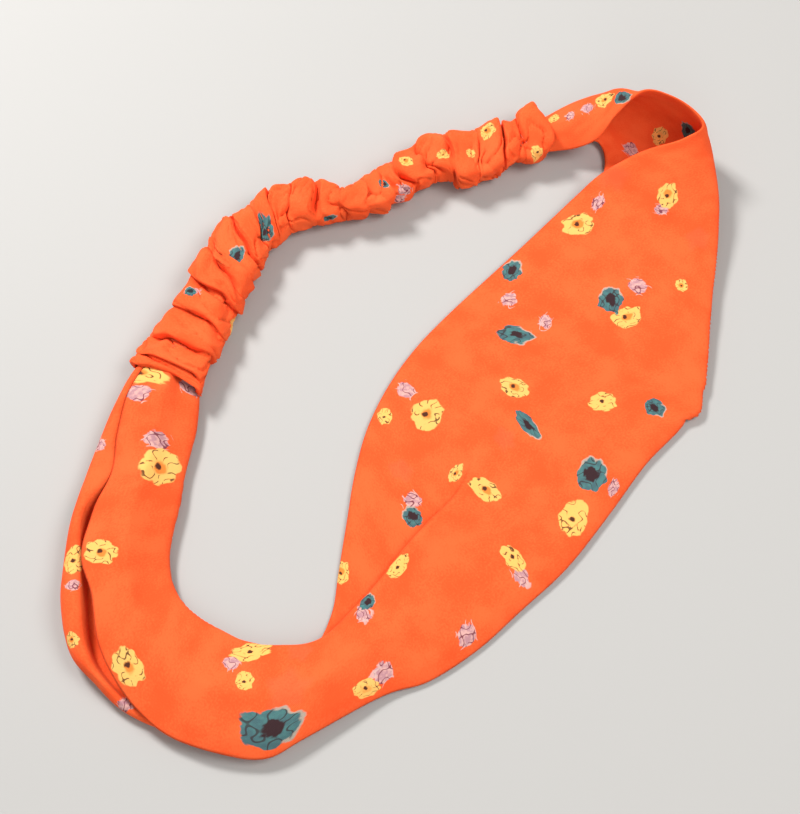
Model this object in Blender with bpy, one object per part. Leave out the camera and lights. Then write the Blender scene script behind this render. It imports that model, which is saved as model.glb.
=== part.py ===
"""Soft headband with a gathered elastic back, lying on a table with its loop open.

The front is one wide band of double cloth. Towards its left end it narrows into a folded
arm, and at its right end it folds under itself and rises as a hood. Both ends are tucked
into the mouths of a gathered casing, which holds a flat strip of elastic.

Run with: blender --background --python part.py
The dimensions below are in millimetres. The objects are made in metres, +Z up.
"""

import math

import bmesh
import bpy
import numpy as np

MM = 0.001

# ---- driving dimensions (mm) ----------------------------------------------------------------
CENTRE_SHIFT = (1.2, -2.0)  # moves the plan so that the origin is under the middle of the box
HINGE = (-35.0, -80.0, 0.0)  # middle of the neck, where the arm swings as the loop opens
GAP = 0.3                   # clearance between pieces that touch on the real headband

LAYER = 1.4                 # thickness of the double cloth as one layer of a fold
PANEL_STEPS = 2             # loft spans between two stations of the wide panel
ARM_STEPS = 2
HOOD_STEPS = 3
NECK_END = 2                # station of the arm where the neck ends and the left end begins
EDGE_ROUND = 2.0            # width of the panel's rounded edges

SEAM_PLACE = 0.52           # where the lengthwise seam lies, as a share of the panel's width
SEAM_CHANNEL = (2.4, 1.2)   # width and depth that the seam draws the underside in
SEAM_PITCH = 5.0
SEAM_HEIGHTS = (0.45, 0.7)  # the two heights that the seam's thread runs between

CASING_WALL = 0.9
CASING_SIDES = 14
CASING_SQUARENESS = 2.4     # exponent of the casing's rounded section
GATHERS = 15
GATHER_DEPTH = 1.7
GATHER_SLANT = 0.9          # how far a gather runs round the casing askew, in radians
CASING_RINGS = 76
CORE_RINGS = 28
MOUTH_PLAIN = 0.08          # share of the casing's length at each mouth that is not gathered

ELASTIC = (7.0, 1.0)        # width and thickness of the elastic strip
ELASTIC_RINGS = 32
ELASTIC_INSET = 0.025       # share of the casing's length from a mouth to the strip's end
ELASTIC_RISE = 1.6          # how far the strip's ends lie over the tucked-in band
ELASTIC_LIFT = 0.4          # height of the strip's middle over the casing's middle

THREAD = 0.5                # thickness of a thread
JOIN_STITCH_POINTS = 27
JOIN_STITCH_SWAY = 1.8      # width of the zigzag round a mouth
JOIN_STITCH_PLACE = 0.017   # share of the casing's length from a mouth to its stitches
JOIN_STITCH_ARC = (-35.0, 215.0)
TACK_POINTS = 9
TACK_PITCH = 0.9
TACK_WIDTH = 4.8
CASING_SEAM_POINTS = 60
CASING_SEAM_SWAY = 0.6
CASING_SEAM_DROP = 1.45     # how far the casing's own seam lies under its middle

# ---- wide panel: inner edge, outer edge, height of its top ----------------------------------
PANEL = [
    ((-23.0, -64.8), (-25.0, -88.0), 6.4),
    ((-21.5, -57.0), (-9.0, -80.0), 5.4),
    ((-20.0, -46.0), (4.0, -75.5), 4.8),
    ((-18.0, -32.0), (17.0, -67.0), 4.4),
    ((-16.0, -18.0), (29.0, -56.5), 4.0),
    ((-12.5, -4.0), (41.0, -45.0), 3.4),
    ((-6.0, 10.0), (53.0, -30.0), 3.2),
    ((3.0, 23.0), (65.0, -14.0), 3.2),
    ((14.0, 35.0), (76.0, -3.5), 3.2),
    ((23.0, 44.0), (80.0, 3.0), 3.4),
    ((32.0, 53.0), (82.5, 15.0), 3.8),
    ((42.5, 63.5), (84.5, 29.5), 4.2),
]

# ---- folded arm: free edge of its top layer, crest height, fold, curled lip, lowest layer ---
ARM = [
    ((-27.0, -89.0, 3.4), 6.4, (-24.5, -65.5), (-27.5, -90.5, 1.1), 0.75),
    ((-37.0, -94.5, 3.4), 6.8, (-35.0, -66.5), (-37.5, -96.0, 1.1), 0.75),
    ((-48.0, -93.5, 3.6), 7.2, (-43.5, -65.5), (-49.5, -95.0, 1.2), 0.75),
    ((-60.5, -89.0, 4.2), 7.6, (-51.0, -62.0), (-62.5, -90.5, 1.6), 0.75),
    ((-69.0, -83.5, 4.8), 8.0, (-56.0, -59.0), (-73.5, -84.5, 2.8), 0.75),
    ((-75.5, -75.0, 5.6), 8.4, (-60.5, -55.0), (-82.5, -76.5, 4.6), 0.75),
    ((-80.5, -66.0, 6.4), 8.8, (-63.5, -50.0), (-89.5, -69.0, 6.0), 0.75),
    ((-84.0, -55.0, 6.8), 9.0, (-65.0, -43.5), (-93.0, -56.5, 6.8), 0.75),
    ((-87.5, -44.0, 7.0), 9.2, (-64.5, -36.0), (-93.5, -45.0, 6.4), 0.75),
    ((-86.5, -31.0, 7.2), 9.2, (-63.0, -27.0), (-92.5, -32.0, 5.6), 0.75),
    ((-82.0, -20.0, 7.2), 9.0, (-62.0, -17.0), (-90.0, -20.5, 4.8), 0.75),
    ((-80.5, -9.0, 7.0), 8.8, (-60.0, -7.0), (-86.5, -9.5, 4.2), 0.75),
    ((-79.5, 2.0, 6.6), 8.0, (-59.5, 1.0), (-82.5, 2.0, 3.8), 1.2),
    ((-75.6, 9.4, 6.0), 6.6, (-60.8, 4.6), (-76.2, 10.0, 3.9), 2.2),
    ((-73.3, 14.6, 5.0), 5.2, (-61.2, 9.8), (-73.8, 15.0, 3.0), 2.6),
    ((-70.0, 21.0, 4.6), 4.6, (-60.2, 17.4), (-70.4, 21.4, 2.8), 2.6),
]

# ---- hood: edge, upper middle, outer fold, lower middle, hidden edge ------------------------
HOOD = [
    [(43.0, 64.5, 3.6), (64.0, 47.5, 3.8), (85.0, 31.0, 2.4), (77.0, 38.0, 0.8), (68.0, 46.0, 0.8)],
    [(53.0, 73.0, 6.0), (70.0, 59.5, 6.6), (88.0, 46.0, 4.0), (76.0, 49.5, 0.8), (64.0, 54.0, 0.8)],
    [(60.5, 77.0, 10.0), (76.0, 68.5, 10.5), (90.3, 60.0, 6.0), (76.0, 60.5, 0.8), (60.5, 63.0, 0.8)],
    [(69.5, 80.0, 15.0), (81.0, 76.0, 14.5), (91.0, 72.0, 8.0), (76.0, 69.5, 0.8), (57.5, 70.5, 0.8)],
    [(80.0, 82.5, 19.0), (87.0, 81.0, 17.0), (91.0, 80.0, 9.0), (77.0, 76.5, 0.8), (56.5, 76.5, 0.8)],
    [(87.0, 86.0, 21.5), (89.5, 87.0, 17.0), (89.0, 88.0, 9.0), (77.0, 82.5, 0.8), (56.0, 80.0, 0.8)],
    [(84.0, 91.5, 21.5), (86.0, 93.0, 15.5), (84.5, 92.5, 7.5), (74.5, 87.0, 0.8), (55.5, 82.5, 0.9)],
    [(77.0, 94.5, 21.5), (78.0, 96.5, 14.5), (77.0, 96.0, 6.5), (69.5, 89.5, 0.9), (55.0, 84.5, 1.0)],
    [(70.0, 96.0, 20.5), (70.0, 98.5, 13.5), (69.0, 97.5, 6.0), (63.5, 91.5, 1.0), (54.5, 86.5, 1.2)],
    [(63.0, 95.0, 17.5), (63.0, 99.5, 13.0), (62.0, 98.5, 6.0), (58.5, 94.0, 1.4), (53.0, 88.5, 1.5)],
    [(56.5, 91.0, 12.5), (57.0, 98.5, 12.5), (56.5, 99.0, 6.0), (54.5, 94.5, 1.6), (51.0, 89.0, 1.8)],
    [(49.5, 87.5, 8.0), (50.0, 94.5, 10.0), (49.0, 97.5, 5.4), (48.5, 93.0, 1.9), (48.0, 88.0, 2.0)],
    [(42.6, 85.6, 5.2), (41.6, 89.6, 5.7), (40.3, 93.6, 4.6), (41.2, 90.0, 2.4), (42.4, 86.0, 2.5)],
    [(34.3, 84.0, 4.6), (33.4, 87.2, 4.8), (32.3, 90.6, 4.0), (33.2, 87.4, 2.6), (34.2, 84.2, 2.6)],
]

# ---- casing: middle of its section in plan, half width, half height --------------------------
CASING = [
    (-68.6, 10.4, 11.0, 5.0),
    (-65.0, 19.5, 10.2, 5.0),
    (-61.0, 29.0, 8.4, 5.0),
    (-57.0, 42.0, 7.6, 5.0),
    (-50.5, 53.5, 7.3, 5.0),
    (-42.5, 62.0, 7.1, 5.0),
    (-32.0, 67.0, 7.0, 5.0),
    (-19.0, 69.5, 7.0, 5.0),
    (-4.0, 74.0, 7.0, 5.0),
    (11.0, 79.5, 7.0, 5.0),
    (26.0, 84.5, 7.0, 5.0),
    (41.2, 89.7, 6.9, 5.0),
]

CLOTH_COLOUR = (0.93, 0.19, 0.06)
THREAD_COLOUR = (0.85, 0.22, 0.09)
ELASTIC_COLOUR = (0.86, 0.84, 0.80)


# ---- shared helpers --------------------------------------------------------------------------
def clear_scene():
    for item in list(bpy.data.objects):
        bpy.data.objects.remove(item, do_unlink=True)


def material(name, colour, roughness):
    """Cloth, thread or elastic: matt, with no metal in it."""
    made = bpy.data.materials.new(name)
    made.use_nodes = True
    shader = made.node_tree.nodes["Principled BSDF"]
    shader.inputs["Base Color"].default_value = (*colour, 1.0)
    shader.inputs["Roughness"].default_value = roughness
    shader.inputs["Metallic"].default_value = 0.0
    return made


def curve_through(rows, places):
    """Catmull-Rom curve through rows of numbers, at places counted in rows."""
    rows = np.asarray(rows, float)
    last = len(rows) - 1
    result = []
    for place in places:
        index = min(int(place), last - 1)
        f = place - index
        before = rows[max(index - 1, 0)]
        here = rows[index]
        there = rows[index + 1]
        after = rows[min(index + 2, last)]
        slope_here = (there - before) / 2
        slope_there = (after - here) / 2
        result.append(
            (2 * f**3 - 3 * f**2 + 1) * here + (f**3 - 2 * f**2 + f) * slope_here
            + (3 * f**2 - 2 * f**3) * there + (f**3 - f**2) * slope_there)
    return np.array(result)


def refine(rows, steps):
    """The same curve with `steps` even spans between two rows."""
    last = len(rows) - 1
    return curve_through(rows, np.linspace(0.0, last, last * steps + 1))


def unit(vectors):
    return vectors / np.linalg.norm(vectors, axis=-1, keepdims=True)


def to_world(point):
    return ((point[0] + CENTRE_SHIFT[0]) * MM, (point[1] + CENTRE_SHIFT[1]) * MM, point[2] * MM)


def finish_mesh(name, bm, cloth, pivot=(0.0, 0.0, 0.0)):
    """Turn a bmesh into a named object whose origin is at pivot, in metres."""
    bmesh.ops.recalc_face_normals(bm, faces=bm.faces)
    bmesh.ops.translate(bm, verts=bm.verts, vec=[-value for value in pivot])
    mesh = bpy.data.meshes.new(name)
    bm.to_mesh(mesh)
    bm.free()
    mesh.shade_smooth()
    mesh.materials.append(cloth)
    item = bpy.data.objects.new(name, mesh)
    item.location = pivot
    bpy.context.collection.objects.link(item)
    return item


def skin(bm, rings):
    """Faces between rings of equal length; each ring is a closed loop."""
    loops = [[bm.verts.new(to_world(point)) for point in ring] for ring in rings]
    count = len(loops[0])
    for first, second in zip(loops, loops[1:]):
        for side in range(count):
            after = (side + 1) % count
            bm.faces.new((first[side], first[after], second[after], second[side]))
    return loops


def loft(bm, rings):
    """A closed body through rings, with a flat cap at each end."""
    loops = skin(bm, rings)
    bm.faces.new(loops[0])
    bm.faces.new(loops[-1])


def thick_sheet(bm, grid, thickness):
    """A closed body of even thickness about a grid of points, rows along and columns across."""
    grid[..., 2] = np.maximum(grid[..., 2], thickness / 2)
    along = np.gradient(grid, axis=0)
    across = np.gradient(grid, axis=1)
    offset = unit(np.cross(along, across)) * thickness / 2
    rings = np.concatenate([grid + offset, (grid - offset)[:, ::-1]], axis=1)
    rings[..., 2] = np.maximum(rings[..., 2], 0.0)
    loft(bm, rings)


def thread_through(name, points, thread, ups, pivot=(0.0, 0.0, 0.0)):
    """One unbroken thread of square section through points, with its top facing along ups."""
    points = np.array(points)
    forward = unit(np.gradient(points, axis=0))
    side = unit(np.cross(np.broadcast_to(ups, points.shape), forward))
    top = np.cross(forward, side)
    half = THREAD / 2
    corners = [(-1, -1), (1, -1), (1, 1), (-1, 1)]
    bm = bmesh.new()
    loft(bm, [[middle + (x * a + z * b) * half for a, b in corners]
              for middle, x, z in zip(points, side, top)])
    return finish_mesh(name, bm, thread, pivot)


# ---- front band ------------------------------------------------------------------------------
def panel_ring(inner, outer, height):
    """Section of the wide panel: flat below but for the seam's channel, rounded at its edges."""
    inner = np.array(inner)
    across = np.array(outer) - inner
    width = np.linalg.norm(across)
    seam = SEAM_PLACE * width
    half = SEAM_CHANNEL[0] / 2
    depth = SEAM_CHANNEL[1]
    side = min(EDGE_ROUND, width / 8)
    outline = [
        (side / 2, 0.0), (seam - half, 0.0), (seam - half / 2, depth), (seam + half / 2, depth),
        (seam + half, 0.0), (width - side / 2, 0.0), (width, 0.35 * height),
        (width - side / 3, 0.78 * height), (width - side, height), (0.75 * width, height),
        (0.5 * width, height), (0.25 * width, height), (side, height),
        (side / 3, 0.78 * height), (0.0, 0.35 * height)]
    return [(*(inner + across * place / width), rise) for place, rise in outline]


def front_band_wide(cloth):
    rows = refine([(*inner, *outer, height) for inner, outer, height in PANEL], PANEL_STEPS)
    bm = bmesh.new()
    loft(bm, [panel_ring(row[0:2], row[2:4], row[4]) for row in rows])
    return finish_mesh("front_band_wide", bm, cloth)


def band_seam_stitching(thread):
    """Thread of the lengthwise seam: it rises and dips in the channel under the wide panel."""
    rows = refine([(*inner, *outer) for inner, outer, _ in PANEL], PANEL_STEPS * 4)
    line = rows[:, 0:2] * (1 - SEAM_PLACE) + rows[:, 2:4] * SEAM_PLACE
    length = np.concatenate([[0.0], np.cumsum(np.linalg.norm(np.diff(line, axis=0), axis=1))])
    points = []
    for index, place in enumerate(np.arange(SEAM_PITCH, length[-1] - SEAM_PITCH, SEAM_PITCH / 2)):
        x, y = (np.interp(place, length, line[:, axis]) for axis in (0, 1))
        points.append((x, y, SEAM_HEIGHTS[index % 2]))
    return thread_through("band_seam_stitching", points, thread, (0.0, 0.0, 1.0))


def arm_row(edge, crest, fold, lip, low):
    """Section of the folded arm, from its top layer's free edge round the fold to the lip."""
    edge = np.array(edge)
    fold = np.array(fold)
    lip = np.array(lip)
    inward = unit(fold - edge[:2])
    lip_inward = unit(fold - lip[:2])
    fold_top = min(crest - 1.2, edge[2] + 0.2)
    return [
        edge,
        (*((edge[:2] + fold) / 2), crest),
        (*(fold - 2.4 * inward), fold_top),
        (*fold, (fold_top + low) / 2),
        (*(fold - 2.4 * inward), low),
        (*((lip[:2] + fold) / 2), low),
        (*(lip[:2] + 2.4 * lip_inward), low),
        (*lip[:2], (low + lip[2]) / 2 + 0.2),
        (*(lip[:2] + 0.4 * lip_inward), lip[2]),
    ]


def folded_arm(name, cloth, start, end, pivot=(0.0, 0.0, 0.0)):
    """A stretch of the folded arm between two places counted in its stations."""
    stations = [arm_row(*station) for station in ARM]
    spans = round((end - start) * ARM_STEPS)
    rows = curve_through(stations, np.linspace(start, end, spans + 1))
    grid = np.array([refine(row, 2) for row in rows])
    bm = bmesh.new()
    thick_sheet(bm, grid, LAYER)
    return finish_mesh(name, bm, cloth, pivot)


def front_band_right_end(cloth):
    rows = refine(HOOD, HOOD_STEPS)
    grid = np.array([refine(row, 2) for row in rows])
    bm = bmesh.new()
    thick_sheet(bm, grid, LAYER)
    return finish_mesh("front_band_right_end", bm, cloth)


# ---- elastic back ----------------------------------------------------------------------------
def casing_frame(share):
    """Middle of the casing at a share of its length, its direction, side and half sizes."""
    dense = refine(CASING, 12)
    run = np.linalg.norm(np.diff(dense[:, :2], axis=0), axis=1)
    length = np.concatenate([[0.0], np.cumsum(run)])
    at = np.clip(share, 0.0, 1.0) * length[-1]
    x, y, half_width, half_height = (np.interp(at, length, dense[:, k]) for k in range(4))
    step = 1.5
    ahead = [np.interp(min(at + step, length[-1]), length, dense[:, k]) for k in (0, 1)]
    behind = [np.interp(max(at - step, 0.0), length, dense[:, k]) for k in (0, 1)]
    forward = unit(np.array([ahead[0] - behind[0], ahead[1] - behind[1], 0.0]))
    side = np.array([-forward[1], forward[0], 0.0])
    return np.array([x, y, half_height]), forward, side, half_width, half_height


def gathered(share):
    """How deep the gathers are: none in the plain mouths, full depth between them."""
    rise = np.clip(min(share, 1 - share) / MOUTH_PLAIN - 0.5, 0.0, 1.0)
    return rise * rise * (3 - 2 * rise)


def section(share, angle, inset):
    """A point of the casing's rounded section, drawn in from its outer size by inset."""
    middle, _, side, half_width, half_height = casing_frame(share)
    power = 2 / CASING_SQUARENESS
    a = math.copysign(abs(math.cos(angle)) ** power, math.cos(angle))
    b = math.copysign(abs(math.sin(angle)) ** power, math.sin(angle))
    return middle + side * a * (half_width - inset) + np.array([0, 0, b * (half_height - inset)])


def elastic_casing(cloth):
    """A tube drawn up over the elastic: ridges outside, a plain bore inside."""
    angles = np.linspace(0.0, 2 * math.pi, CASING_SIDES, endpoint=False)
    outside = []
    for share in np.linspace(0.0, 1.0, CASING_RINGS):
        ring = []
        for angle in angles:
            wave = math.cos(2 * math.pi * GATHERS * share + GATHER_SLANT * math.sin(angle))
            inset = GATHER_DEPTH * gathered(share) * (0.5 - 0.5 * wave)
            ring.append(section(share, angle, inset))
        outside.append(ring)
    inside = [[section(share, angle, CASING_WALL + GATHER_DEPTH * gathered(share))
               for angle in angles] for share in np.linspace(0.0, 1.0, CORE_RINGS)]
    bm = bmesh.new()
    outer_loops = skin(bm, outside)
    inner_loops = skin(bm, inside)
    for outer, inner in ((outer_loops[0], inner_loops[0]), (outer_loops[-1], inner_loops[-1])):
        for side in range(CASING_SIDES):
            after = (side + 1) % CASING_SIDES
            bm.faces.new((outer[side], outer[after], inner[after], inner[side]))
    return finish_mesh("elastic_casing", bm, cloth)


def elastic_height(share):
    """Height of the strip's middle: it rises onto the tucked-in band at both ends."""
    middle = casing_frame(share)[0][2] + ELASTIC_LIFT
    near_end = np.clip(1.5 - min(share, 1 - share) / MOUTH_PLAIN, 0.0, 1.0)
    return middle + ELASTIC_RISE * near_end


def elastic_strip(elastic):
    half_width = ELASTIC[0] / 2
    half_thick = ELASTIC[1] / 2
    rings = []
    for share in np.linspace(ELASTIC_INSET, 1 - ELASTIC_INSET, ELASTIC_RINGS):
        middle, _, side, _, _ = casing_frame(share)
        middle[2] = elastic_height(share)
        rings.append([middle + side * a * half_width + np.array([0, 0, b * half_thick])
                      for a, b in ((-1, -1), (1, -1), (1, 1), (-1, 1))])
    bm = bmesh.new()
    loft(bm, rings)
    return finish_mesh("elastic_strip", bm, elastic)


def casing_seam_stitching(thread):
    """Thread of the casing's own seam, which weaves from side to side under the strip."""
    points = []
    for index in range(CASING_SEAM_POINTS):
        share = MOUTH_PLAIN + (1 - 2 * MOUTH_PLAIN) * index / (CASING_SEAM_POINTS - 1)
        middle, _, side, _, _ = casing_frame(share)
        middle = middle + side * CASING_SEAM_SWAY * (index % 2 - 0.5)
        points.append(middle - np.array([0.0, 0.0, CASING_SEAM_DROP]))
    return thread_through("casing_seam_stitching", points, thread, (0.0, 0.0, 1.0))


def join_stitching(name, share, thread, pivot=(0.0, 0.0, 0.0)):
    """Zigzag thread round a mouth of the casing, which holds the band's end in it."""
    points = []
    ups = []
    for index, degrees in enumerate(np.linspace(*JOIN_STITCH_ARC, JOIN_STITCH_POINTS)):
        place = share + JOIN_STITCH_SWAY * (index % 2 - 0.5) / casing_length()
        point = section(place, math.radians(degrees), -(GAP + THREAD / 2))
        points.append(point)
        ups.append(point - casing_frame(place)[0])
    return thread_through(name, points, thread, ups, pivot)


def elastic_tack(name, share, direction, thread, pivot=(0.0, 0.0, 0.0)):
    """Zigzag thread across an end of the strip, which holds it to the tucked-in band."""
    points = []
    for index in range(TACK_POINTS):
        place = share + direction * (1 + index) * TACK_PITCH / casing_length()
        middle, _, side, _, _ = casing_frame(place)
        middle[2] = elastic_height(place) + ELASTIC[1] / 2 + GAP + THREAD / 2
        points.append(middle + side * TACK_WIDTH * (index % 2 - 0.5))
    return thread_through(name, points, thread, (0.0, 0.0, 1.0), pivot)


def casing_length():
    plan = refine(CASING, 12)[:, :2]
    return np.linalg.norm(np.diff(plan, axis=0), axis=1).sum()


# ---- the headband ----------------------------------------------------------------------------
def main():
    clear_scene()
    cloth = material("printed_cloth", CLOTH_COLOUR, 0.85)
    thread = material("sewing_thread", THREAD_COLOUR, 0.6)
    elastic = material("knitted_elastic", ELASTIC_COLOUR, 0.75)
    pivot = to_world(HINGE)
    front_band_wide(cloth)
    neck_gap = GAP / np.linalg.norm(np.subtract(ARM[NECK_END][2], ARM[NECK_END - 1][2]))
    folded_arm("front_band_neck", cloth, 0, NECK_END - neck_gap)
    folded_arm("front_band_left_end", cloth, NECK_END, len(ARM) - 1, pivot)
    front_band_right_end(cloth)
    band_seam_stitching(thread)
    elastic_casing(cloth)
    elastic_strip(elastic)
    casing_seam_stitching(thread)
    join_stitching("left_join_stitching", JOIN_STITCH_PLACE, thread, pivot)
    join_stitching("right_join_stitching", 1 - JOIN_STITCH_PLACE, thread)
    elastic_tack("left_elastic_tack", ELASTIC_INSET, 1, thread, pivot)
    elastic_tack("right_elastic_tack", 1 - ELASTIC_INSET, -1, thread)


main()
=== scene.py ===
import math
import random

import bpy
import numpy as np
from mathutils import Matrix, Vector, noise
from mathutils.bvhtree import BVHTree
from mathutils.kdtree import KDTree


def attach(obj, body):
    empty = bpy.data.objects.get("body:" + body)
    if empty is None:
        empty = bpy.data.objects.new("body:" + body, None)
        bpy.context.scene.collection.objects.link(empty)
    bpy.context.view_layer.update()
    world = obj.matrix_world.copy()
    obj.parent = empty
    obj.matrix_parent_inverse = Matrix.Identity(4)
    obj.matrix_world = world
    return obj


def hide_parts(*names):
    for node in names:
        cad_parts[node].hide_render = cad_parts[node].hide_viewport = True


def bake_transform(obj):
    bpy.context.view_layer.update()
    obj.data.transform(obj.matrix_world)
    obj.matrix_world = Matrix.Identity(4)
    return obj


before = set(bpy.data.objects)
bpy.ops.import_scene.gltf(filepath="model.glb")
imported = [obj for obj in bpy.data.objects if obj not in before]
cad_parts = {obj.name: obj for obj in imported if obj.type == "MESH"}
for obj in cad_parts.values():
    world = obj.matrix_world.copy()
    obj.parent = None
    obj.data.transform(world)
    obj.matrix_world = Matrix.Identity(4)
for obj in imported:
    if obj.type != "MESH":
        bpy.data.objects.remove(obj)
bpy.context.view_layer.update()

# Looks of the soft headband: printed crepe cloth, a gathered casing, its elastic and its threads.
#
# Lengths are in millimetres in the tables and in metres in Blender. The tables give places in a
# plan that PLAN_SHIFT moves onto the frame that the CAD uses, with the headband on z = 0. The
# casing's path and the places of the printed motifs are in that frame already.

MM = 0.001
PLAN_SHIFT = (1.2, -2.0)     # from the plan that the tables of rows use to the shared frame

# ---- camera and studio ------------------------------------------------------------------------
CAMERA_TARGET = Vector((-0.0024, 0.0005, 0.0))
CAMERA_DISTANCE = 0.42
CAMERA_ELEVATION = 66.0
CAMERA_LENS = 66.34
CAMERA_SENSOR = 36.0
KEY_LIGHT = ("key_light", (-0.42, 0.48, 0.62), 9.5, 0.2)        # name, place, energy, size
FILL_LIGHT = ("fill_light", (0.52, -0.02, 0.78), 5.2, 0.45)
FRONT_LIGHT = ("front_light", (0.0, -0.6, 0.42), 1.5, 0.5)
SKY_COLOUR = (1.0, 0.98, 0.95, 1.0)
SKY_STRENGTH = 0.36
FLOOR_COLOUR = (0.40, 0.39, 0.375, 1.0)
FLOOR_HALF = 3.0
FLOOR_DROP = 0.0002          # the floor is just under the cloth


def make_camera():
    data = bpy.data.cameras.new("camera")
    data.lens = CAMERA_LENS
    data.sensor_width = CAMERA_SENSOR
    data.clip_start = 0.01
    data.clip_end = 20.0
    camera = bpy.data.objects.new("camera", data)
    rise = math.radians(CAMERA_ELEVATION)
    back = Vector((0.0, -math.cos(rise), math.sin(rise)))
    camera.location = CAMERA_TARGET + back * CAMERA_DISTANCE
    camera.rotation_euler = (-back).to_track_quat("-Z", "Y").to_euler()
    bpy.context.scene.collection.objects.link(camera)
    bpy.context.scene.camera = camera
    return camera


def add_area_light(name, place, energy, size):
    """A square light that points at the middle of the headband."""
    data = bpy.data.lights.new(name, "AREA")
    data.energy = energy
    data.size = size
    light = bpy.data.objects.new(name, data)
    light.location = place
    light.rotation_euler = (-Vector(place)).to_track_quat("-Z", "Y").to_euler()
    bpy.context.scene.collection.objects.link(light)


def make_studio():
    for light in (KEY_LIGHT, FILL_LIGHT, FRONT_LIGHT):
        add_area_light(*light)
    world = bpy.data.worlds.new("studio_world")
    world.use_nodes = True
    background = world.node_tree.nodes["Background"]
    background.inputs["Color"].default_value = SKY_COLOUR
    background.inputs["Strength"].default_value = SKY_STRENGTH
    bpy.context.scene.world = world
    bpy.context.scene.view_settings.view_transform = "Standard"
    make_floor()


def make_floor():
    mesh = bpy.data.meshes.new("floor")
    corners = [(x * FLOOR_HALF, y * FLOOR_HALF, -FLOOR_DROP)
               for x, y in ((-1, -1), (1, -1), (1, 1), (-1, 1))]
    mesh.from_pydata(corners, [], [(0, 1, 2, 3)])
    floor = bpy.data.objects.new("floor", mesh)
    bpy.context.scene.collection.objects.link(floor)
    material = bpy.data.materials.new("floor_paint")
    material.use_nodes = True
    shader = material.node_tree.nodes["Principled BSDF"]
    shader.inputs["Base Color"].default_value = FLOOR_COLOUR
    shader.inputs["Roughness"].default_value = 0.7
    mesh.materials.append(material)


# ---- curves -----------------------------------------------------------------------------------
def curve_through(rows, places):
    """Catmull-Rom curve through rows of numbers, at places counted in rows."""
    rows = np.asarray(rows, float)
    places = np.asarray(places, float)
    last = len(rows) - 1
    index = np.clip(places.astype(int), 0, last - 1)
    f = (places - index).reshape((-1,) + (1,) * (rows.ndim - 1))
    before = rows[np.maximum(index - 1, 0)]
    here = rows[index]
    there = rows[index + 1]
    after = rows[np.minimum(index + 2, last)]
    slope_here = (there - before) / 2
    slope_there = (after - here) / 2
    return ((2 * f**3 - 3 * f**2 + 1) * here + (f**3 - 2 * f**2 + f) * slope_here
            + (3 * f**2 - 2 * f**3) * there + (f**3 - f**2) * slope_there)


def refine(rows, steps):
    last = len(rows) - 1
    return curve_through(rows, np.linspace(0.0, last, last * steps + 1))


def unit(vectors):
    length = np.linalg.norm(vectors, axis=-1, keepdims=True)
    return vectors / np.maximum(length, 1e-9)


def even_points(line, count):
    """The same line with count points at even distances."""
    step = np.linalg.norm(np.diff(line, axis=0), axis=1)
    run = np.concatenate([[0.0], np.cumsum(step)])
    wanted = np.linspace(0.0, run[-1], count)
    return np.stack([np.interp(wanted, run, line[:, axis]) for axis in range(3)], axis=1)


def smoothed(grid, passes):
    """Evens out a grid along its rows, keeping its first and last row."""
    for _ in range(passes):
        inner = (grid[:-2] + 2 * grid[1:-1] + grid[2:]) / 4
        grid = np.concatenate([grid[:1], inner, grid[-1:]])
    return grid


def rounded(corners):
    """A line through corners, rounded a little at each one, in ACROSS even points."""
    fine = even_points(np.asarray(corners, float), FINE_POINTS)
    return even_points(smoothed(fine, ROUNDING_PASSES), ACROSS)


def noise_field(places, seed):
    """Smooth noise from about -1 to 1 at an array of 3D places."""
    flat = places.reshape(-1, 3) + np.array([seed * 17.3, seed * 5.1, seed * 9.7])
    values = [noise.noise(Vector(place)) for place in flat]
    return 1.6 * np.array(values).reshape(places.shape[:-1])


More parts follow.
